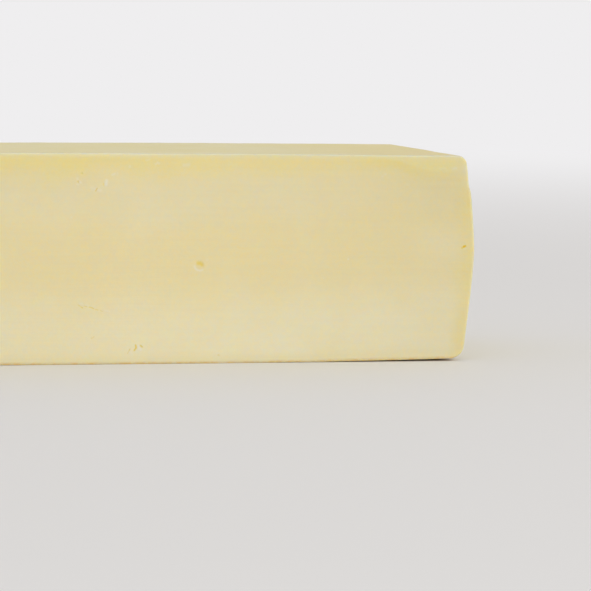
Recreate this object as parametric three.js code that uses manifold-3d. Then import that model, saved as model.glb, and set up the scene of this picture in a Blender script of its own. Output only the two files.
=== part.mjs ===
// A piece of young rindless cheese, cut off a long moulded block by two wire cuts.
// Millimetres, +Z up. The origin is the middle of the underside. +X runs along the block
// and the cut face that is seen looks towards -Y.

import * as THREE from 'three';
import { mergeVertices } from 'three/addons/utils/BufferGeometryUtils.js';
import Module from 'manifold-3d';

// Whole block
const blockLength = 300;
const blockDepth = 125;
const blockHeight = 100;

// Moulded ends: a soft belly, with the step that the press lid leaves near the top
const bellyHeight = 53;
const endDrawIn = 4.9;
const bellyPower = 1.35;
const ledgeHeight = 83.5;
const ledgeRise = 5;
const ledgeStep = 0.85;
const topRound = 4.4;
const baseRound = 6;

// Moulded top and underside: the top is faintly crowned and the underside lifts to the ends
const topCrown = 0.4;
const flatHalf = 25;
const baseLift = 1.5;

// Rounding left where a wire cut runs out through the moulded skin
const cutEdge = 0.8;

// Vertices closer than this are one and the same
const mergeGap = 1e-4;

// Colour of the paste
const pasteColour = 0xe1d2a2;

// How finely the outline and the bites are divided
const endSteps = 22;
const cornerSteps = 6;
const topSteps = 12;
const liftSteps = 6;
const edgeSteps = 3;
const eyeSides = 24;
const tearSides = 12;

// Round eyes on the two cut faces: place on the face, radius of the mouth, depth
const frontEyes = [
  { x: 13.8, z: 46.8, mouth: 2.3, depth: 0.5 },
];
const backEyes = [
  { x: -66, z: 61, mouth: 2.0, depth: 1.2 },
  { x: 78, z: 34, mouth: 2.6, depth: 1.6 },
];

// Small tears that the wire pulled out: place, length, width, depth and slant from level
const frontTears = [
  { x: -43.3, z: 90.2, length: 1.5, width: 1.3, depth: 0.3, slant: 20 },
  { x: -45.2, z: 86.4, length: 1.6, width: 1.0, depth: 0.3, slant: -72 },
  { x: -36.4, z: 82.7, length: 2.1, width: 0.9, depth: 0.3, slant: 58 },
  { x: -16.9, z: 7.8, length: 3.1, width: 1.0, depth: 0.4, slant: 78 },
  { x: -13.7, z: 8.0, length: 1.9, width: 0.9, depth: 0.3, slant: -41 },
  { x: -20.1, z: 6.1, length: 2.5, width: 0.8, depth: 0.3, slant: 60 },
  { x: 144.5, z: 55.4, length: 2.4, width: 1.2, depth: 0.4, slant: 31 },
];
const backTears = [
  { x: 41, z: 88, length: 3.0, width: 1.0, depth: 0.5, slant: 42 },
  { x: 36.5, z: 85.6, length: 2.1, width: 0.9, depth: 0.4, slant: 75 },
  { x: -104, z: 12, length: 3.4, width: 1.0, depth: 0.5, slant: -25 },
];

const wasm = await Module();
wasm.setup();

// Half length of the block at a height, out to the moulded end
function endReach(z) {
  const draw = endDrawIn * (Math.abs(z - bellyHeight) / bellyHeight) ** bellyPower;
  const low = ledgeHeight - ledgeRise / 2;
  const step = ledgeStep * THREE.MathUtils.smoothstep(z, low, low + ledgeRise);
  return blockLength / 2 - draw - step;
}

// Height of the top at a distance along the block
function topLevel(x) {
  return blockHeight - topCrown * (2 * x / blockLength) ** 2;
}

// Height of the underside at a distance along the block
function baseLevel(x) {
  const past = Math.max(0, Math.abs(x) - flatHalf);
  return baseLift * (past / (blockLength / 2 - flatHalf)) ** 2;
}

// Points strictly between two ends of a quarter round whose square corner is known
function cornerArc(from, corner, to) {
  const points = [];
  for (let i = 1; i < cornerSteps; i += 1) {
    const turn = (Math.PI / 2) * i / cornerSteps;
    const point = corner.clone();
    point.addScaledVector(from.clone().sub(corner), 1 - Math.sin(turn));
    point.addScaledVector(to.clone().sub(corner), 1 - Math.cos(turn));
    points.push(point);
  }
  return points;
}

// Right half of the outline, from the edge of the flat underside up to the middle of the top
function halfOutline() {
  const points = [];
  const baseEnd = endReach(0) - baseRound;
  for (let i = 0; i <= liftSteps; i += 1) {
    const x = THREE.MathUtils.lerp(flatHalf, baseEnd, i / liftSteps);
    points.push(new THREE.Vector2(x, baseLevel(x)));
  }
  const lowest = baseLevel(endReach(0)) + baseRound;
  const highest = topLevel(endReach(blockHeight)) - topRound;
  const rising = [];
  for (let i = 0; i <= endSteps; i += 1) {
    const z = THREE.MathUtils.lerp(lowest, highest, i / endSteps);
    rising.push(new THREE.Vector2(endReach(z), z));
  }
  const baseCorner = new THREE.Vector2(endReach(0), baseLevel(endReach(0)));
  points.push(...cornerArc(points.at(-1), baseCorner, rising[0]), ...rising);

  const topEnd = endReach(blockHeight) - topRound;
  const topStart = new THREE.Vector2(topEnd, topLevel(topEnd));
  const topCorner = new THREE.Vector2(endReach(blockHeight), topLevel(endReach(blockHeight)));
  points.push(...cornerArc(rising.at(-1), topCorner, topStart), topStart);
  for (let i = 1; i <= topSteps / 2; i += 1) {
    const x = THREE.MathUtils.lerp(topEnd, 0, 2 * i / topSteps);
    points.push(new THREE.Vector2(x, topLevel(x)));
  }
  return points;
}

// The whole block: the outline and its mirror image, drawn out between the two cuts
function blockGeometry() {
  const right = halfOutline();
  const left = right.slice(0, -1).reverse().map((point) => new THREE.Vector2(-point.x, point.y));
  const geometry = new THREE.ExtrudeGeometry(new THREE.Shape([...right, ...left]), {
    depth: blockDepth - 2 * cutEdge,
    bevelThickness: cutEdge,
    bevelSize: cutEdge,
    bevelOffset: -cutEdge,
    bevelSegments: edgeSteps,
  });
  geometry.rotateX(Math.PI / 2);
  geometry.translate(0, blockDepth / 2 - cutEdge, 0);
  return geometry;
}

// A ball that bites a round eye of the given mouth and depth into a cut face; side is -1 or 1
function eyeGeometry(eye, side) {
  const radius = (eye.mouth ** 2 + eye.depth ** 2) / (2 * eye.depth);
  const geometry = new THREE.SphereGeometry(radius, eyeSides, eyeSides / 2);
  geometry.translate(eye.x, side * (blockDepth / 2 + radius - eye.depth), eye.z);
  return geometry;
}

// A flat lens that bites a slanted tear into a cut face; side is -1 or 1
function tearGeometry(tear, side) {
  const geometry = new THREE.SphereGeometry(1, tearSides, tearSides / 2);
  geometry.scale(tear.length / 2, tear.depth, tear.width / 2);
  geometry.rotateY(THREE.MathUtils.degToRad(-tear.slant));
  geometry.translate(tear.x, side * blockDepth / 2, tear.z);
  return geometry;
}

function toSolid(geometry) {
  geometry.deleteAttribute('normal');
  geometry.deleteAttribute('uv');
  const merged = mergeVertices(geometry, mergeGap);
  return new wasm.Manifold(new wasm.Mesh({
    numProp: 3,
    vertProperties: new Float32Array(merged.attributes.position.array),
    triVerts: new Uint32Array(merged.index.array),
  }));
}

function toGeometry(solid) {
  const mesh = solid.getMesh();
  const geometry = new THREE.BufferGeometry();
  geometry.setAttribute('position', new THREE.BufferAttribute(mesh.vertProperties, 3));
  geometry.setIndex(new THREE.BufferAttribute(mesh.triVerts, 1));
  geometry.computeVertexNormals();
  return geometry;
}

function cheeseBlock() {
  const bites = [
    ...frontEyes.map((eye) => eyeGeometry(eye, -1)),
    ...backEyes.map((eye) => eyeGeometry(eye, 1)),
    ...frontTears.map((tear) => tearGeometry(tear, -1)),
    ...backTears.map((tear) => tearGeometry(tear, 1)),
  ];
  let solid = toSolid(blockGeometry());
  for (const bite of bites) {
    solid = solid.subtract(toSolid(bite));
  }
  const paste = new THREE.MeshStandardMaterial({ color: pasteColour, roughness: 0.5, metalness: 0 });
  const mesh = new THREE.Mesh(toGeometry(solid), paste);
  mesh.name = 'cheese_block';
  return mesh;
}

const gouda = new THREE.Group();
gouda.add(cheeseBlock());

export default gouda;
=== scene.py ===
import math

import bmesh
import bpy
import numpy as np
from mathutils import Matrix, Vector


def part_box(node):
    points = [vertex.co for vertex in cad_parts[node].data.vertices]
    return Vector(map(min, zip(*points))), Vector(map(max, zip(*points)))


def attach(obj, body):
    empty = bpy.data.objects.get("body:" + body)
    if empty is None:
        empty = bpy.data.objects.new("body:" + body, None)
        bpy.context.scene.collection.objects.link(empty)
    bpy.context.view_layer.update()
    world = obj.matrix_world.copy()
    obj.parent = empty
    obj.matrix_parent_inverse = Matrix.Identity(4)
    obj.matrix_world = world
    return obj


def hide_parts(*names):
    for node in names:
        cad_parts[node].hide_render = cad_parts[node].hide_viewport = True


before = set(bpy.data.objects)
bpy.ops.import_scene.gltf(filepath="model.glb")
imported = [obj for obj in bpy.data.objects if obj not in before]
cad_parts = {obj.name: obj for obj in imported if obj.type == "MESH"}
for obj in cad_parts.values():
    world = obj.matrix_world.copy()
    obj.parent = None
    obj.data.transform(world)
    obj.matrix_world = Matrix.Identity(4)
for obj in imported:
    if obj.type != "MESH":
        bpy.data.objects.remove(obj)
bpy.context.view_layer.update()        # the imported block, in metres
mm = 0.001
near = 0.01 * mm         # two points this close are on one level

blockLow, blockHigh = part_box("cheese_block")
blockSize = blockHigh - blockLow
halfLength = blockSize.x / 2
halfDepth = blockSize.y / 2
height = blockSize.z

# the moulded outline, in mm: the solid's own sizes, with touches too fine for it
mould = {
    "bellyHeight": 53.0,     # where an end stands out furthest
    "endDrawIn": 4.9,        # how far it draws in from there to the base
    "bellyPower": 1.35,      # 1 is a straight draft, 2 a round belly
    "ledgeHeight": 83.5,     # step left by the press lid
    "ledgeRise": 5.0,
    "ledgeStep": 0.85,
    "topRound": 4.4,
    "baseRound": 6.0,
    "roundSteps": 7,
    "cutEdge": 0.8,          # rounding where a cut leaves the skin
    "cutEdgeSteps": 3,
    "footShare": 0.2,        # the rounding is smaller along the foot
    "edgeGuard": 0.5,        # narrow row beside the rounding, so that the faces stay flat
    "topTwist": 0.45,        # the back of the top stands higher to the right
    "topCrown": 0.4,
    "flatHalf": 25.0,        # half of the length that lies flat
    "baseLift": 1.5,         # rise of the underside to the ends
    "liftPower": 2.0,        # 1 is a straight rise, more is later
    "leftLiftPower": 3.0,    # the left half has settled flatter
    "rowGap": 2.5,           # spacing of the rows that carry the belly
    "columnCuts": 119,
    "sliceCuts": 49,
}


# Marks on a cut face. Each has a reach to either side of its path, a push inwards and a path of
# one or more (x, z), all in mm. A tint up to 1 is a deeper yellow, and up to 2 it turns amber.
def eye(reach, push, tint, *path):
    return {"form": "SPHERE", "reach": reach, "push": push, "tint": tint, "path": path}


def pit(reach, push, tint, *path):
    return {"form": "SMOOTH", "reach": reach, "push": push, "tint": tint, "path": path}


def tear(reach, push, tint, *path):
    return {"form": "SHARP", "reach": reach, "push": push, "tint": tint, "path": path}


# a flake stands out instead, and has dried pale; the same pale tint also paints the highlight on an eye's
# lip
def flakeAndHighlight(reach, lift, paleness, *path):
    return {"form": "SMOOTH", "reach": reach, "push": -lift, "tint": -paleness, "path": path}


frontMarks = [
    # round eye: bowl, a deeper yellow upper right that is painted shade on the wall turned from the
    # light, and a pale lip lower left that is a painted highlight on the wall turned to it
    eye(2.4, 0.15, 0.25, (13.8, 46.8)),
    pit(1.7, 0.1, 0.82, (13.1, 47.7), (14.0, 47.8), (14.9, 47.1)),
    flakeAndHighlight(0.9, -0.03, 0.75, (11.3, 46.4), (11.7, 45.4), (12.7, 44.6), (14.0, 44.3), (15.2, 44.7)),
    # torn group below the top edge
    pit(0.8, 0.2, 0.55, (-43.4, 90.3)),
    pit(0.55, 0.2, 0.5, (-45.3, 86.7), (-45.1, 86.1)),
    flakeAndHighlight(0.9, 0.06, 0.55, (-45.6, 88.0), (-45.4, 87.5)),
    flakeAndHighlight(0.9, 0.06, 0.65, (-44.3, 86.3), (-43.9, 86.0)),
    flakeAndHighlight(0.9, 0.05, 0.5, (-45.6, 85.3), (-45.1, 85.0)),
    tear(0.5, 0.25, 0.75, (-36.1, 83.2), (-36.4, 82.7), (-36.8, 82.1)),
    flakeAndHighlight(1.6, 0.05, 0.35, (-38.6, 83.6), (-37.8, 82.9)),
    flakeAndHighlight(1.3, 0.06, 0.45, (-35.6, 82.6), (-34.4, 82.2)),
    flakeAndHighlight(1.4, 0.09, 0.9, (-31.6, 86.9), (-31.8, 85.4)),
    tear(0.5, 0.12, 0.4, (-33.0, 85.6), (-33.1, 84.8)),
    # specks in the yellow band
    flakeAndHighlight(0.9, 0.04, 0.7, (-28.8, 89.8), (-27.8, 90.2)),
    flakeAndHighlight(0.8, 0.03, 0.35, (-26.5, 90.6), (-26.4, 89.8)),
    flakeAndHighlight(0.9, 0.05, 0.45, (-20.5, 94.0), (-20.6, 93.4)),
    flakeAndHighlight(0.8, 0.03, 0.3, (-12.6, 96.6), (-11.2, 97.0)),
    flakeAndHighlight(0.9, 0.05, 0.5, (-8.0, 94.9), (-7.2, 95.6), (-6.5, 95.1)),
    flakeAndHighlight(1.3, 0.04, 0.4, (5.6, 94.4), (8.0, 94.7)),
    flakeAndHighlight(0.9, 0.03, 0.4, (104.7, 90.6), (104.3, 90.4)),
    flakeAndHighlight(0.9, 0.03, 0.35, (103.2, 89.5), (102.8, 89.3)),
    flakeAndHighlight(0.8, 0.03, 0.2, (115.4, 85.7), (116.2, 85.3)),
    flakeAndHighlight(1.0, 0.03, 0.25, (131.6, 93.2), (134.4, 93.3)),
    flakeAndHighlight(1.1, 0.03, 0.45, (138.4, 93.3), (139.7, 93.5)),
    # specks scattered over the face
    flakeAndHighlight(0.8, 0.03, 0.45, (-48.2, 69.7)),
    pit(0.5, 0.12, 0.4, (28.6, 35.8)),
    flakeAndHighlight(0.7, 0.04, 1.0, (86.7, 49.6)),
    flakeAndHighlight(0.8, 0.02, 0.35, (84.4, 71.1)),
    flakeAndHighlight(0.7, 0.02, 0.35, (74.6, 40.5)),
    flakeAndHighlight(0.9, 0.02, 0.3, (17.1, 49.5), (17.8, 49.7)),
    # torn group above the foot
    tear(0.65, 0.3, 1.0, (-16.8, 9.0), (-16.5, 7.9), (-17.3, 6.6)),
    tear(0.7, 0.2, 0.8, (-14.4, 8.8), (-13.6, 8.2)),
    tear(0.5, 0.15, 0.65, (-19.5, 7.1), (-19.8, 6.6)),
    tear(0.5, 0.12, 0.4, (-20.0, 6.3), (-20.6, 5.1)),
    flakeAndHighlight(1.3, 0.1, 1.0, (-15.5, 8.6), (-15.1, 7.4), (-14.2, 6.9)),
    flakeAndHighlight(0.9, 0.04, 0.4, (-19.3, 5.8), (-18.7, 5.2)),
    tear(0.5, 0.12, 0.35, (-38.3, 12.5), (-37.9, 12.3), (-36.9, 13.2)),
    pit(0.5, 0.15, 0.5, (23.2, 4.0), (23.8, 3.9)),
    # hairline crack that has half closed
    tear(0.45, 0.12, 0.55, (-44.5, 28.2), (-43.5, 27.6)),
    tear(0.5, 0.2, 0.8, (-43.1, 27.2), (-42.5, 26.9)),
    tear(0.45, 0.14, 0.5, (-41.7, 27.6), (-40.6, 27.4)),
    tear(0.5, 0.15, 0.7, (-39.2, 27.2), (-38.1, 27.0), (-37.3, 26.5)),
    tear(0.45, 0.12, 0.5, (-36.4, 26.1), (-35.0, 25.8)),
    tear(0.45, 0.1, 0.45, (-33.9, 25.5), (-33.0, 25.1)),
    flakeAndHighlight(0.7, 0.03, 0.4, (-43.9, 29.1), (-42.9, 28.7)),
    flakeAndHighlight(0.7, 0.03, 0.4, (-40.6, 28.2), (-39.6, 27.9)),
    flakeAndHighlight(0.8, 0.03, 0.4, (-31.8, 25.6), (-29.8, 25.1)),
    # moulded end: yellow below the ledge, painted as the shade under it, and a deep tear
    pit(1.8, 0.02, 0.15, (146.4, 79.0), (146.7, 75.0)),
    tear(0.95, 0.35, 1.9, (145.0, 55.8), (144.4, 55.5)),
    tear(0.6, 0.1, 1.1, (144.2, 55.3), (143.5, 54.9)),
    flakeAndHighlight(0.7, 0.04, 0.5, (145.4, 54.9), (144.7, 54.6)),
]

# the back was cut by the same wire and carries a few marks of its own
backMarks = [
    # as on the front, the deeper yellow pit on the upper side of each eye is painted shade, and the pale
    # lip below the second eye is a painted highlight
    eye(2.0, 1.0, 0.35, (-66.0, 61.0)),
    pit(1.5, 0.3, 0.5, (-66.4, 61.5)),
    eye(2.6, 1.3, 0.35, (78.0, 34.0)),
    pit(2.0, 0.4, 0.5, (78.5, 34.6)),
    flakeAndHighlight(0.8, -0.06, 0.6, (75.3, 33.6), (75.9, 32.2), (77.2, 31.3)),
    pit(0.7, 0.35, 0.7, (12.0, 71.0)),
    tear(0.55, 0.45, 1.0, (40.0, 87.2), (41.0, 88.0), (41.9, 88.9)),
    tear(0.5, 0.35, 0.9, (36.3, 84.8), (36.7, 86.3)),
    flakeAndHighlight(1.1, 0.08, 0.8, (38.6, 88.0), (39.6, 88.8)),
    tear(0.6, 0.45, 1.0, (-105.3, 12.6), (-102.7, 11.4)),
    flakeAndHighlight(1.0, 0.08, 0.7, (-104.2, 13.4), (-103.0, 12.9)),
    tear(0.4, 0.14, 0.5, (-30.0, 31.0), (-27.5, 30.4)),
    tear(0.4, 0.12, 0.4, (-26.0, 30.9), (-23.5, 30.7)),
    tear(0.4, 0.1, 0.4, (-21.0, 29.8), (-18.5, 30.0)),
]

relief = {
    "margins": (3.4, 2.2, 1.2, 0.5),   # mm round a mark, halved once more inside each
    "traceStep": 0.25,                 # mm between the points along a path
    "core": 0.12,                      # mm either side of a path that moves fully
    "lipReach": 1.25,                  # an eye's lip is worn soft, out to this share of its reach
    "lipWear": 0.5,
    "lipRounds": 2,
    "crestWidth": 3.8,                 # dry pale line along the upper rim of a cut, partly a painted highlight
    "crestFall": 1.8,                  # 1 is an even fade, more is quicker
    "endCrestWidth": 2.0,              # the same at the upright rims, where it is thinner
    "endCrest": 0.65,
    "skinDepth": 1.5,                  # further in than this, what lies near a cut is bare paste
    "cutReach": 4.0,                   # deeper than any mark
    "waveSize": 38.0,
    "waveHeight": 0.35,
    "dimpleSize": 7.0,
    "dimpleHeight": 0.10,
    "restLevel": 2.0,                  # nothing waves below this height
    "freeRise": 6.0,                   # from there up to where it waves fully
}

# course of the yellow band below the top edge: x, strength, depth at half strength in mm
bandCourse = [
    (-150, 0.90, 8.0), (-75, 1.00, 9.0), (-58, 1.00, 10.0), (-48, 1.15, 9.5), (-35, 1.00, 7.2),
    (-15, 0.88, 8.0), (0, 0.88, 9.2), (12, 0.74, 7.5), (35, 0.62, 6.8), (60, 0.60, 6.2),
    (88, 0.60, 6.0), (99, 1.05, 6.2), (107, 1.10, 6.8), (114, 0.95, 8.4), (123, 0.75, 8.6),
    (135, 0.65, 6.0), (150, 0.55, 5.0),
]

# seam that dives from the top edge to the right end, where curds pressed together: x, depth, strength
seamCourse = [
    (-150, 8.0, 0.0), (96, 2.0, 0.0), (105, 2.6, 0.4), (111.5, 3.8, 0.65), (118, 6.2, 0.7),
    (124, 7.5, 0.6), (130, 8.7, 0.75), (137, 8.3, 0.7), (144, 8.0, 0.4), (150, 8.0, 0.2),
]

# strength of the pale band above the foot along the block
paleCourse = [(-150, 0.70), (-50, 0.66), (-10, 0.80), (60, 1.0), (110, 0.80), (150, 0.75)]

# soft patches beside a moulded end, in mm: chalky at the upper corner, painted shade below the
# seam, dry and pale at half height
endPatches = {
    "chalk": {"fromTop": 7.5, "tall": 4.5, "fromEnd": 2.5, "long": 5.0, "strength": 0.4},
    "ledgeShade": {"fromTop": 18.0, "tall": 12.0, "fromEnd": 16.0, "long": 18.0, "strength": 0.5},
    "bloom": {"fromTop": 43.0, "tall": 9.0, "fromEnd": 15.0, "long": 12.0, "strength": 0.4},
}


def smoothStep(value, low, high):
    t = min(max((value - low) / (high - low), 0.0), 1.0)
    return t * t * (3 - 2 * t)


# full at no distance, gone at the given width
def fade(distance, width):
    return np.clip(1 - distance / width, 0.0, 1.0)


# half length of the block at a height, in mm
def endReach(z):
    belly = mould["bellyHeight"]
    draw = mould["endDrawIn"] * (abs(z - belly) / belly) ** mould["bellyPower"]
    low = mould["ledgeHeight"] - mould["ledgeRise"] / 2
    return halfLength / mm - draw - mould["ledgeStep"] * smoothStep(z, low, low + mould["ledgeRise"])


# how far the underside has lifted and the top has fallen at a place on the block, in mm
def baseLift(x):
    past = max(0.0, abs(x) - mould["flatHalf"])
    power = mould["liftPower"] if x > 0 else mould["leftLiftPower"]
    return mould["baseLift"] * (past / (halfLength / mm - mould["flatHalf"])) ** power


def topFall(x, y):
    along = x * mm / halfLength
    back = (y * mm + halfDepth) / blockSize.y
    return mould["topCrown"] * along ** 2 - mould["topTwist"] * along * back


def partsOf(edit, kind):
    return {"VERT": edit.verts, "EDGE": edit.edges, "FACE": edit.faces}[kind]


# where a part lies: a point, the two ends of an edge or the middle of a face
def placesOf(part, kind):
    if kind == "FACE":
        return [part.calc_center_median()]
    return [part.co] if kind == "VERT" else [vert.co for vert in part.verts]


def pick(piece, kind, wanted):
    bpy.ops.mesh.select_mode(type=kind)
    bpy.ops.mesh.select_all(action="DESELECT")
    edit = bmesh.from_edit_mesh(piece.data)
    for part in partsOf(edit, kind):
        if wanted(*placesOf(part, kind)):
            part.select_set(True)
    bmesh.update_edit_mesh(piece.data)


# picks by number, for sets that were worked out beforehand
def pickNumbered(piece, kind, numbers):
    bpy.ops.mesh.select_mode(type=kind)
    bpy.ops.mesh.select_all(action="DESELECT")
    edit = bmesh.from_edit_mesh(piece.data)
    parts = partsOf(edit, kind)
    parts.ensure_lookup_table()
    for i in numbers:
        parts[i].select_set(True)
    bmesh.update_edit_mesh(piece.data)


# the separate heights at which wanted points lie, lowest first
def levels(piece, wanted):
    edit = bmesh.from_edit_mesh(piece.data)
    found = []
    for z in sorted(v.co.z for v in edit.verts if wanted(v.co)):
        if not found or z - found[-1] > near:
            found.append(z)
    return found


def startBlock():
    bpy.ops.object.select_all(action="DESELECT")
    bpy.ops.mesh.primitive_cube_add(size=1, location=(blockLow + blockHigh) / 2, scale=blockSize)
    piece = bpy.context.object
    piece.name = "gouda_block"
    piece.data.name = "gouda_block"
    bpy.ops.object.transform_apply(location=True, rotation=True, scale=True)
    return piece


# moulded corners first, then the rims that the wire left, with a guard row to either side of them
def roundEdges(piece):
    for level, radius in ((height, mould["topRound"]), (0.0, mould["baseRound"])):
        pick(piece, "EDGE", lambda a, b: abs(a.z - level) < near and abs(b.z - level) < near
             and abs(a.x - b.x) < near)
        bpy.ops.mesh.bevel(offset=radius * mm, segments=mould["roundSteps"], profile=0.5)
    pick(piece, "EDGE", lambda a, b: abs(a.y - b.y) < near and abs(abs(a.y) - halfDepth) < near)
    bpy.ops.mesh.bevel(offset=mould["cutEdge"] * mm, segments=mould["cutEdgeSteps"], profile=0.5)
    edge = mould["cutEdge"] * mm + near
    straight = halfLength - mould["baseRound"] * mm + near
    squeeze = (1, mould["footShare"], mould["footShare"])
    for y in (-halfDepth, halfDepth):
        pick(piece, "VERT", lambda co: co.z < edge and abs(co.y - y) < edge and abs(co.x) < straight)
        bpy.ops.transform.resize(value=squeeze, center_override=(0, y, 0))
    pick(piece, "FACE", lambda centre: abs(abs(centre.y) - halfDepth) < near)
    bpy.ops.mesh.inset(thickness=mould["edgeGuard"] * mm, depth=0, use_individual=True)
    guard = halfDepth - (mould["cutEdge"] + mould["edgeGuard"]) * mm
    for y in (-guard, guard):
        bpy.ops.mesh.select_all(action="SELECT")
        bpy.ops.mesh.bisect(plane_co=(0, y, 0), plane_no=(0, 1, 0), threshold=near)


# rows across the height: one at each step of the rounds, evenly between them, and five on the ledge
def cutRows(piece):
    rows = levels(piece, lambda co: abs(co.y + halfDepth) < near)
    gaps = [upper - lower for lower, upper in zip(rows, rows[1:])]
    low = rows[gaps.index(max(gaps))]
    high = low + max(gaps)
    count = round((high - low) / (mould["rowGap"] * mm))
    rows += [low + (high - low) * i / count for i in range(1, count)]
    rows += [(mould["ledgeHeight"] + i * mould["ledgeRise"] / 4) * mm for i in (-2, -1, 0, 1, 2)]
    for row in rows:
        bpy.ops.mesh.select_all(action="SELECT")
        bpy.ops.mesh.bisect(plane_co=(0, 0, row), plane_no=(0, 0, 1), threshold=near)


# each row is drawn in to the belly of the mould
def drawIn(piece):
    for row in levels(piece, lambda co: True):
        pick(piece, "VERT", lambda co: 0 <= co.z - row <= near)
        draw = endReach(row / mm) * mm / halfLength
        bpy.ops.transform.resize(value=(draw, 1, 1), center_override=(0, 0, row))


# an even mesh all over, then the crown and twist of the top and the lifted ends of the underside
def fineGrid(piece):
    pick(piece, "EDGE", lambda a, b: abs(a.x - b.x) > halfLength)
    bpy.ops.mesh.subdivide(number_cuts=mould["columnCuts"])
    pick(piece, "EDGE", lambda a, b: abs(a.y - b.y) > halfDepth)
    bpy.ops.mesh.subdivide(number_cuts=mould["sliceCuts"])
    edit = bmesh.from_edit_mesh(piece.data)
    for vert in edit.verts:
        up = vert.co.z / height
        x = vert.co.x / mm
        vert.co.z += (baseLift(x) * (1 - up) - topFall(x, vert.co.y / mm) * up) * mm
    bmesh.update_edit_mesh(piece.data)


# points along a path, close together, in mm
def trace(path):
    points = [path[0]]
    for start, end in zip(path, path[1:]):
        count = max(1, round(math.dist(start, end) / relief["traceStep"]))
        for i in range(1, count + 1):
            points.append((start[0] + (end[0] - start[0]) * i / count,
                           start[1] + (end[1] - start[1]) * i / count))
    return np.array(points)


# nearest distance from each place on a face to the path of a mark, in mm
def distanceTo(places, mark):
    gaps = places[:, None, :] - trace(mark["path"])[None, :, :]
    return np.linalg.norm(gaps, axis=2).min(axis=1)


def meshPlaces(data, kind):
    flat = np.zeros(len(getattr(data, kind)) * 3)
    getattr(data, kind).foreach_get("center" if kind == "polygons" else "co", flat)
    return flat.reshape(-1, 3) / mm


# numbers of the parts that lie on a cut face, and their places on it
def onFace(piece, kind, side):
    bpy.ops.object.mode_set(mode="OBJECT")
    places = meshPlaces(piece.data, kind)
    numbers = np.flatnonzero(np.abs(places[:, 1] - side * halfDepth / mm) < near / mm)
    bpy.ops.object.mode_set(mode="EDIT")
    return numbers, places[numbers][:, [0, 2]]


# the mesh is halved a few times round each mark, so that its shape is real
def refineMarks(piece, marks, side):
    for margin in relief["margins"]:
        numbers, places = onFace(piece, "polygons", side)
        chosen = np.zeros(len(numbers), bool)
        for mark in marks:
            chosen |= distanceTo(places, mark) < mark["reach"] + margin
        pickNumbered(piece, "FACE", numbers[chosen])
        bpy.ops.mesh.subdivide(number_cuts=1)


# eyes, pits, tears and cracks are pushed in, flakes are pulled out; returns the tint of each point
def digMarks(piece, marks, side):
    numbers, places = onFace(piece, "vertices", side)
    tints = []
    for mark in marks:
        gap = distanceTo(places, mark)
        pickNumbered(piece, "VERT", numbers[gap <= max(relief["core"], gap.min())])
        bpy.ops.transform.translate(value=(0, -side * mark["push"] * mm, 0), use_proportional_edit=True,
                                    proportional_edit_falloff=mark["form"],
                                    proportional_size=mark["reach"] * mm)
        close = fade(gap, mark["reach"])
        tints.append(mark["tint"] * close * close * (3 - 2 * close))
        if mark["form"] == "SPHERE":
            pickNumbered(piece, "VERT", numbers[gap < mark["reach"] * relief["lipReach"]])
            bpy.ops.mesh.vertices_smooth(factor=relief["lipWear"], repeat=relief["lipRounds"])
    return numbers, np.array(tints)


# what the paste material reads at each point, from its distances to the skin and to a cut in mm
def paintPoints(piece, tinted):
    x, y, z = meshPlaces(piece.data, "vertices").T
    fromTop = np.clip(height / mm - topFall(x, y) - z, 0.0, None)
    fromEnd = np.array([endReach(v) for v in z]) - np.abs(x)
    fromBase = z - np.array([baseLift(v) for v in x])
    fromCut = halfDepth / mm - np.abs(y)
    fromSkin = np.minimum(np.minimum(fromTop, fromEnd), fromBase)
    barePaste = (fromSkin > relief["skinDepth"]) & (fromCut < relief["cutReach"])
    topCrest = fade(np.maximum(fromCut, fromTop), relief["crestWidth"]) ** relief["crestFall"]
    endCrest = fade(np.maximum(fromCut, fromEnd), relief["endCrestWidth"]) * relief["endCrest"]
    bandX, bandStrength, bandDepth = np.array(bandCourse).T
    seamX, seamDepth, seamStrength = np.array(seamCourse).T
    paleX, paleStrength = np.array(paleCourse).T
    values = {
        "bandDepth": fromTop / np.interp(x, bandX, bandDepth),
        "bandStrength": np.interp(x, bandX, bandStrength),
        "seamOffset": fromTop - np.interp(x, seamX, seamDepth),
        "seamStrength": np.interp(x, seamX, seamStrength),
        "paleStrength": np.interp(x, paleX, paleStrength),
        "endDepth": fromEnd,
        "footDepth": fromBase,
        "cutFace": np.where(barePaste, 1.0, fade(fromCut, mould["edgeGuard"])),
        "cutCrest": np.maximum(topCrest, endCrest),
        "yolk": np.zeros(len(x)),
        "amber": np.zeros(len(x)),
        "flakeAndHighlight": np.zeros(len(x)),
    }
    for name, patch in endPatches.items():
        down = (fromTop - patch["fromTop"]) / patch["tall"]
        along = (fromEnd - patch["fromEnd"]) / patch["long"]
        values[name] = patch["strength"] * np.exp(-down ** 2 - along ** 2)
    for numbers, tints in tinted:
        values["yolk"][numbers] = np.clip(tints.max(axis=0), 0.0, 1.0)
        values["amber"][numbers] = np.clip(tints.max(axis=0) - 1, 0.0, 1.0)
        values["flakeAndHighlight"][numbers] = np.clip(-tints.min(axis=0), 0.0, 1.0)
    for name, value in values.items():
        attribute = piece.data.attributes.new(name, "FLOAT", "POINT")
        attribute.data.foreach_set("value", value.astype(np.float32))
    return values["cutFace"]


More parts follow.
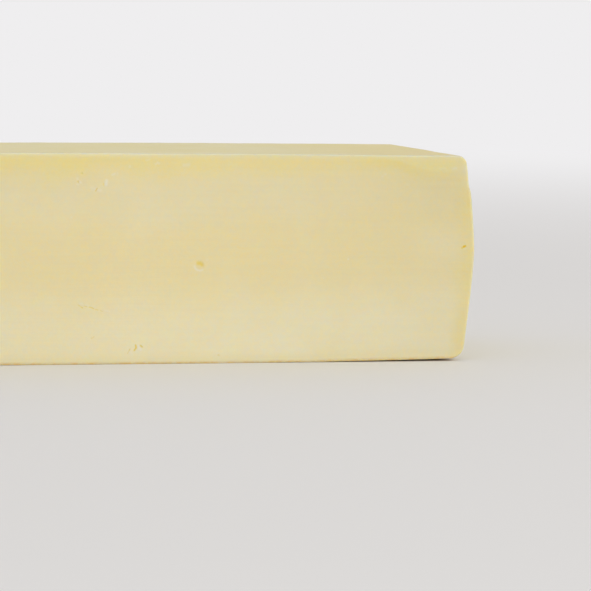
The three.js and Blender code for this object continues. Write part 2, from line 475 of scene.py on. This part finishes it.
# slow waves all over and small dimples on the skin; the underside stays where it rests
def unevenSurface(piece, cutFace):
    z = meshPlaces(piece.data, "vertices")[:, 2]
    free = np.clip((z - relief["restLevel"]) / relief["freeRise"], 0.0, 1.0)
    for name, weights in (("wave", free), ("dimple", free * (1 - cutFace))):
        group = piece.vertex_groups.new(name=name)
        for i in np.flatnonzero(weights):
            group.add([int(i)], float(weights[i]), "REPLACE")
        clouds = bpy.data.textures.new(name, "CLOUDS")
        clouds.noise_scale = relief[name + "Size"] * mm
        clouds.noise_depth = 1
        modifier = piece.modifiers.new(name, "DISPLACE")
        modifier.texture = clouds
        modifier.texture_coords = "LOCAL"
        modifier.vertex_group = name
        modifier.mid_level = 0.5
        modifier.strength = relief[name + "Height"] * mm
        bpy.ops.object.modifier_apply(modifier=name)
    piece.vertex_groups.clear()


def makeBlock():
    piece = startBlock()
    bpy.ops.object.mode_set(mode="EDIT")
    roundEdges(piece)
    cutRows(piece)
    drawIn(piece)
    fineGrid(piece)
    print("block shaped")
    for marks, side in ((frontMarks, -1), (backMarks, 1)):
        refineMarks(piece, marks, side)
    tinted = [digMarks(piece, frontMarks, -1), digMarks(piece, backMarks, 1)]
    bpy.ops.mesh.select_mode(type="FACE")
    bpy.ops.mesh.select_face_by_sides(number=4, type="GREATER", extend=False)
    bpy.ops.mesh.quads_convert_to_tris(ngon_method="BEAUTY")     # no slivers where fine mesh meets coarse
    bpy.ops.object.mode_set(mode="OBJECT")
    print("marks dug,", len(piece.data.vertices), "points")
    unevenSurface(piece, paintPoints(piece, tinted))
    bpy.ops.object.shade_smooth()
    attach(piece, "root")
    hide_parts("cheese_block")
    return piece


# colours as seen, 0 to 255, turned into the light values that the shader takes
def tone(red, green, blue):
    return tuple(((c / 255 + 0.055) / 1.055) ** 2.4 for c in (red, green, blue)) + (1.0,)


paste = {
    "base": tone(220, 208, 164),
    "pale": tone(223, 216, 185),            # above the foot
    "dull": tone(218, 208, 170),            # below the top
    "deep": tone(221, 207, 158),            # clouds
    "rim": tone(220, 207, 146),             # towards the skin
    "corner": tone(221, 211, 156),          # above the seam
    "ledgeShade": tone(210, 198, 151),            # painted shade below the seam
    "skin": tone(223, 213, 171),
    "skinEnd": tone(224, 209, 160),
    "crest": tone(212, 208, 182),           # dry rims of a cut, partly a painted highlight
    "crestRim": tone(203, 202, 183),
    "skinCrest": tone(215, 210, 188),
    # pale tone of torn flakes, also the painted highlight on an eye's lip
    "flakeAndHighlight": tone(220, 215, 198),
    "yolk": tone(219, 198, 92),             # pits, tears and the seam, also the painted shade in an eye and below the ledge
    "amber": tone(225, 182, 0),
    # damp foot, partly painted contact shade
    "foot": tone(222, 180, 112),
    "warmSpeck": (1.035, 1.0, 0.89, 1.0),   # factors on the colour under a speck of fat
    "coolSpeck": (0.965, 1.0, 1.11, 1.0),
    "scatter": (1.0, 0.8, 0.35),
    "scatterReach": 4.0,                    # mm
    "scatterShare": 0.9,
    "skinScatter": 0.1,
    "gloss": 0.2,
    "ior": 1.45,
    "crestRough": 0.2,                      # added where a rim has dried
    "endSway": 5.0,                         # mm by which the rim at an end wanders
    "seamSway": 0.8,
    "fineShare": 0.6,                       # fine grain beside the wire streaks
    "bumpShare": 0.8,
    "bumpStrength": 0.35,
    "bumpHeight": 0.2,                      # mm
    "streakScale": (14.0, 14.0, 520.0),     # drawn out along the cut
}

# noises in the paste: repeats to the metre, detail, roughness
noises = {
    "warp": (16.0, 2.0),
    "cloud": (34.0, 3.0, 0.55),
    "sway": (60.0, 3.0, 0.55),
    "drynessAndSheen": (90.0, 2.0),
    "rough": (120.0, 3.0),
    "seepAndShade": (260.0, 3.0, 0.6),
    "bumps": (420.0, 3.0, 0.6),
    "fat": (650.0, 3.0, 0.65),
    "fine": (850.0, 2.0),
    "streak": (1.0, 3.0, 0.55),
}

# where a change starts and ends, then its values there if not 0 and 1, and its form if not smooth
ranges = {
    # by height, in m
    "lowBand": (0.044, 0.012),
    "highBandFoot": (0.062, 0.076),
    "highBandTop": (0.094, 0.082),
    "endRimTop": (0.088, 0.078, 0.2, 1.0),
    # by distance from the foot or an end, in mm
    "foot": (1.6, 0.0),
    "footFade": (0.5, 7.0, 0.5, 1.0),
    "endRim": (12.0, 0.0, 0.0, 0.75),
    "endRise": (105.0, 15.0, 0.0, 0.009),          # rise in m
    "highBandEnd": (20.0, 90.0, 0.5, 1.0),
    "skinNearEnd": (95.0, 20.0),
    # by distance below the seam, in mm
    "aboveSeam": (0.3, -1.8),
    "belowSeam": (-0.5, 3.0),
    "seamUpper": (-1.5, 0.3, 0.0, 0.25),
    "seamLower": (5.5, 1.5),
    # by depth in the top band, where 1 is half strength
    "topBand": (2.0, 0.0),
    "skinNearTop": (0.6, 0.0),
    # by the share of crest or cut
    "crestRim": (0.35, 0.75),
    "skinRough": (1.0, 0.0, 0.0, 0.24),
    # by noise
    "warp": (0.0, 1.0, -0.01, 0.01, "LINEAR"),     # bend in m
    "sway": (0.3, 0.7, -0.45, 0.45, "LINEAR"),
    "deepCloud": (0.45, 0.75, 0.0, 0.35),
    "paleCloud": (0.50, 0.25, 0.0, 0.25),
    "ledgeShadeCloud": (0.2, 0.6, 0.5, 1.0),
    "skinCloud": (0.3, 0.75, 0.0, 0.5),
    "drynessAndSheen": (0.3, 0.7, 0.85, 1.0),
    "grain": (0.4, 1.2, 0.984, 1.013, "LINEAR"),
    "fat": (0.25, 0.75, 0.0, 1.0, "LINEAR"),
    "seepAndShade": (0.4, 0.65, 0.4, 1.0),
    "rough": (0.3, 0.7, 0.42, 0.54),
}


# short way to add nodes, with sockets given by name
class Graph:
    def __init__(self, tree):
        self.tree = tree
        tree.nodes.clear()

    def feed(self, socket, value):
        if isinstance(value, bpy.types.NodeSocket):
            self.tree.links.new(value, socket)
        else:
            socket.default_value = value

    def add(self, kind, inputs=None, **settings):
        node = self.tree.nodes.new(kind)
        for name, value in settings.items():
            setattr(node, name, value)
        for name, value in (inputs or {}).items():
            self.feed(node.inputs[name], value)
        return node

    def noise(self, vector, scale, detail=2.0, rough=0.5, output="Fac"):
        return self.add("ShaderNodeTexNoise", {"Vector": vector, "Scale": scale, "Detail": detail,
                                               "Roughness": rough}).outputs[output]

    def fit(self, value, low, high, toLow=0.0, toHigh=1.0, form="SMOOTHSTEP"):
        return self.add("ShaderNodeMapRange", {"Value": value, "From Min": low, "From Max": high,
                                               "To Min": toLow, "To Max": toHigh},
                        interpolation_type=form).outputs["Result"]

    def math(self, kind, first, second):
        return self.add("ShaderNodeMath", {0: first, 1: second}, operation=kind).outputs[0]

    def plus(self, first, second):
        return self.math("ADD", first, second)

    def times(self, first, second):
        return self.math("MULTIPLY", first, second)

    def mix(self, share, first, second, kind="MIX"):
        return self.add("ShaderNodeMix", {0: share, 6: first, 7: second}, data_type="RGBA",
                        blend_type=kind).outputs[2]

    def upward(self, vector):
        return self.add("ShaderNodeSeparateXYZ", {"Vector": vector}).outputs["Z"]


# height in the block, bent by a slow noise, so that its bands waver and rise a little to the ends
def bentLevel(g, place, read):
    warp = g.upward(g.noise(place, *noises["warp"], output="Color"))
    level = g.plus(g.upward(place), g.fit(warp, *ranges["warp"]))
    return g.math("SUBTRACT", level, g.fit(read["endDepth"], *ranges["endRise"]))


# a paler band above the foot and a duller one below the top
def heightBands(g, level, read):
    low = g.times(g.fit(level, *ranges["lowBand"]), g.fit(read["footDepth"], *ranges["footFade"]))
    colour = g.mix(g.times(low, read["paleStrength"]), paste["base"], paste["pale"])
    high = g.times(g.fit(level, *ranges["highBandFoot"]), g.fit(level, *ranges["highBandTop"]))
    high = g.times(high, g.fit(read["endDepth"], *ranges["highBandEnd"]))
    return g.mix(high, colour, paste["dull"])


# yellower towards the skin: a wavy band below the top edge and a narrow rim at the ends
def towardsSkin(g, colour, level, sway, read):
    band = g.fit(g.plus(read["bandDepth"], sway), *ranges["topBand"])
    band = g.times(band, read["bandStrength"])
    rim = g.fit(g.plus(read["endDepth"], g.times(sway, paste["endSway"])), *ranges["endRim"])
    rim = g.times(rim, g.fit(level, *ranges["endRimTop"]))
    colour = g.mix(g.math("MAXIMUM", band, rim), colour, paste["rim"])
    return g.mix(read["bloom"], colour, paste["pale"])


# the seam is a yellow line, lighter above it, with painted shade below it near the ends
def alongSeam(g, colour, cloud, sway, read):
    offset = g.plus(read["seamOffset"], g.times(sway, paste["seamSway"]))
    # painted shade: the paste is darker below the seam near each end
    ledgeShade = g.times(g.fit(cloud, *ranges["ledgeShadeCloud"]), g.fit(offset, *ranges["belowSeam"]))
    colour = g.mix(g.times(read["ledgeShade"], ledgeShade), colour, paste["ledgeShade"])
    above = g.times(g.fit(offset, *ranges["aboveSeam"]), read["seamStrength"])
    colour = g.mix(above, colour, paste["corner"])
    colour = g.mix(read["chalk"], colour, paste["crest"])
    seam = g.times(g.fit(offset, *ranges["seamUpper"]), g.fit(offset, *ranges["seamLower"]))
    return g.mix(g.times(seam, read["seamStrength"]), colour, paste["yolk"])


# off the cut faces lies the moulded skin, yellower along the top near the ends
def withSkin(g, colour, cloud, read):
    nearEnd = g.fit(read["endDepth"], *ranges["skinNearEnd"])
    nearEnd = g.times(nearEnd, g.fit(read["bandDepth"], *ranges["skinNearTop"]))
    skin = g.mix(nearEnd, paste["skin"], paste["skinEnd"])
    skin = g.mix(g.fit(cloud, *ranges["skinCloud"]), skin, paste["rim"])
    return g.mix(read["cutFace"], skin, colour)


# the rims of a cut have dried pale, and carry a painted highlight of the rounded edge
def withCrest(g, colour, place, read):
    dryAndSheen = g.fit(g.noise(place, *noises["drynessAndSheen"]), *ranges["drynessAndSheen"])
    crest = g.mix(g.fit(read["cutCrest"], *ranges["crestRim"]), paste["crest"], paste["crestRim"])
    crest = g.mix(read["cutFace"], paste["skinCrest"], crest)
    return g.mix(g.times(read["cutCrest"], dryAndSheen), colour, crest)


# wire streaks with a fine grain, and specks of fat a touch warmer or cooler than the paste
def withGrain(g, colour, place, streak):
    fine = g.times(g.noise(place, *noises["fine"]), paste["fineShare"])
    grain = g.fit(g.plus(streak, fine), *ranges["grain"])
    colour = g.mix(1.0, colour, grain, "MULTIPLY")
    fat = g.fit(g.noise(place, *noises["fat"]), *ranges["fat"])
    return g.mix(1.0, colour, g.mix(fat, paste["warmSpeck"], paste["coolSpeck"]), "MULTIPLY")


# torn flakes are dry and pale, pits and tears hold a deeper yellow, the foot is damp in places and
# carries painted contact shade
def withMarks(g, colour, place, read):
    # the pale tint also paints the highlight on an eye's lip, and the deeper yellow the shade on its
    # upper wall
    for name in ("flakeAndHighlight", "yolk", "amber"):
        colour = g.mix(read[name], colour, paste[name])
    # painted contact shade along the foot, partly damp, broken into dashes by a noise
    seepAndShade = g.fit(g.noise(place, *noises["seepAndShade"]), *ranges["seepAndShade"])
    return g.mix(g.times(g.fit(read["footDepth"], *ranges["foot"]), seepAndShade), colour, paste["foot"])


def pasteMaterial(piece):
    material = bpy.data.materials.new("cheese_paste")
    material.use_nodes = True
    g = Graph(material.node_tree)
    place = g.add("ShaderNodeTexCoord").outputs["Object"]
    painted = [a.name for a in piece.data.attributes if a.domain == "POINT" and a.data_type == "FLOAT"]
    read = {name: g.add("ShaderNodeAttribute", attribute_name=name).outputs["Fac"] for name in painted}
    level = bentLevel(g, place, read)
    cloud = g.noise(place, *noises["cloud"])
    sway = g.fit(g.noise(place, *noises["sway"]), *ranges["sway"])
    drawn = g.add("ShaderNodeMapping", {"Vector": place, "Scale": paste["streakScale"]}).outputs[0]
    streak = g.times(g.noise(drawn, *noises["streak"]), read["cutFace"])

    colour = heightBands(g, level, read)
    colour = g.mix(g.fit(cloud, *ranges["deepCloud"]), colour, paste["deep"])
    colour = g.mix(g.fit(cloud, *ranges["paleCloud"]), colour, paste["pale"])
    colour = towardsSkin(g, colour, level, sway, read)
    colour = alongSeam(g, colour, cloud, sway, read)
    colour = withSkin(g, colour, cloud, read)
    colour = withCrest(g, colour, place, read)
    colour = withGrain(g, colour, place, streak)
    colour = withMarks(g, colour, place, read)

    # the moulded skin and the dry crest shine less than the cut paste
    rough = g.fit(g.noise(place, *noises["rough"]), *ranges["rough"])
    rough = g.plus(rough, g.fit(read["cutFace"], *ranges["skinRough"]))
    rough = g.plus(rough, g.times(read["cutCrest"], paste["crestRough"]))
    bumps = g.plus(streak, g.times(g.noise(place, *noises["bumps"]), paste["bumpShare"]))
    bump = g.add("ShaderNodeBump", {"Height": bumps, "Strength": paste["bumpStrength"],
                                    "Distance": paste["bumpHeight"] * mm})
    scatter = g.fit(read["cutFace"], 0.0, 1.0, paste["skinScatter"], paste["scatterShare"])
    shader = g.add("ShaderNodeBsdfPrincipled", {
        "Base Color": colour, "Roughness": rough, "Normal": bump.outputs[0],
        "IOR": paste["ior"], "Specular IOR Level": paste["gloss"],
        "Subsurface Weight": scatter, "Subsurface Radius": paste["scatter"],
        "Subsurface Scale": paste["scatterReach"] * mm,
    })
    g.add("ShaderNodeOutputMaterial", {"Surface": shader.outputs[0]})
    return material


studio = {
    "floorSize": 40.0,
    "floorDrop": 0.01,             # mm below the block, so that the two don't share a plane
    "floorColour": tone(233, 231, 228),
    "floorRough": 0.8,
    "haze": tone(239, 238, 239),
    "hazeRange": (0.45, 2.6),      # metres from the block
    "skyRange": (0.05, 0.95, 1.0, 0.82),   # from the horizon to overhead, and the strengths there
    "window": {"place": (1.75, -2.05, 1.75), "size": 1.6, "power": 18.0, "colour": (0.97, 1.0, 1.0)},
    "fill": {"place": (-0.025, -0.37, 0.035), "size": 0.20, "power": 0.395, "colour": (1.0, 0.985, 0.95)},
    "rear": {"place": (-1.10, 1.30, 0.30), "size": 1.0, "power": 15.0, "colour": (1.0, 0.99, 0.97)},
    "right": {"place": (1.30, 0.25, 0.25), "size": 0.8, "power": 2.0, "colour": (1.0, 0.99, 0.97)},
    "left": {"place": (-1.30, 0.25, 0.25), "size": 0.8, "power": 0.7, "colour": (1.0, 0.99, 0.97)},
}

# the viewpoint, in mm and degrees
viewpoint = {
    "place": (-317.4, -1591.2, 165.0),
    "yaw": -13.899,
    "pitch": -4.818,
    "roll": -0.896,
    "focalPixels": 3301.4,
    "framePixels": 591,
    "sensor": 36.0,
}


# a pale floor that runs out into the same haze as the sky
def makeFloor():
    bpy.ops.object.select_all(action="DESELECT")
    bpy.ops.mesh.primitive_plane_add(size=studio["floorSize"], location=(0, 0, -studio["floorDrop"] * mm))
    floor = bpy.context.object
    floor.name = "floor"
    material = bpy.data.materials.new("floor_pale")
    material.use_nodes = True
    g = Graph(material.node_tree)
    place = g.add("ShaderNodeTexCoord").outputs["Object"]
    away = g.add("ShaderNodeVectorMath", {0: place}, operation="LENGTH").outputs["Value"]
    matt = g.add("ShaderNodeBsdfPrincipled", {"Base Color": studio["floorColour"],
                                              "Roughness": studio["floorRough"]})
    haze = g.add("ShaderNodeEmission", {"Color": studio["haze"], "Strength": 1.0})
    share = g.fit(away, *studio["hazeRange"])
    blend = g.add("ShaderNodeMixShader", {0: share, 1: matt.outputs[0], 2: haze.outputs[0]})
    g.add("ShaderNodeOutputMaterial", {"Surface": blend.outputs[0]})
    floor.data.materials.append(material)


def makeSky():
    world = bpy.data.worlds.new("studio")
    bpy.context.scene.world = world
    world.use_nodes = True
    g = Graph(world.node_tree)
    up = g.upward(g.add("ShaderNodeTexCoord").outputs["Generated"])
    level = g.fit(up, *studio["skyRange"])
    background = g.add("ShaderNodeBackground", {"Color": studio["haze"], "Strength": level})
    g.add("ShaderNodeOutputWorld", {"Surface": background.outputs[0]})


def makeLamp(name):
    lamp = studio[name]
    light = bpy.data.lights.new(name, "AREA")
    light.size = lamp["size"]
    light.energy = lamp["power"]
    light.color = lamp["colour"]
    holder = bpy.data.objects.new(name, light)
    bpy.context.collection.objects.link(holder)
    holder.location = lamp["place"]
    aim = Vector((0, 0, height / 2)) - holder.location
    holder.rotation_euler = aim.to_track_quat("-Z", "Y").to_euler()
    holder.visible_camera = False
    return holder


# the fills reach the block only and leave no gloss on it, so that the floor and the rims stay even
def makeLights(piece):
    makeLamp("window")
    lit = bpy.data.collections.new("lit_by_fills")
    lit.objects.link(piece)
    for name in ("fill", "rear", "right", "left"):
        lamp = makeLamp(name)
        lamp.light_linking.receiver_collection = lit
        lamp.visible_glossy = False


def makeCamera():
    lens = bpy.data.cameras.new("camera")
    lens.sensor_width = viewpoint["sensor"]
    lens.lens = viewpoint["focalPixels"] / viewpoint["framePixels"] * viewpoint["sensor"]
    camera = bpy.data.objects.new("camera", lens)
    bpy.context.collection.objects.link(camera)
    turn = (Matrix.Rotation(math.radians(viewpoint["yaw"]), 4, "Z")
            @ Matrix.Rotation(math.radians(90 + viewpoint["pitch"]), 4, "X")
            @ Matrix.Rotation(math.radians(-viewpoint["roll"]), 4, "Z"))
    camera.matrix_world = Matrix.Translation(Vector(viewpoint["place"]) * mm) @ turn
    bpy.context.scene.camera = camera


block = makeBlock()
block.data.materials.append(pasteMaterial(block))
print("paste coloured")
makeFloor()
makeSky()
makeLights(block)
makeCamera()
bpy.context.scene.view_settings.view_transform = "Standard"
bpy.context.scene.view_settings.look = "None"
print("studio ready")
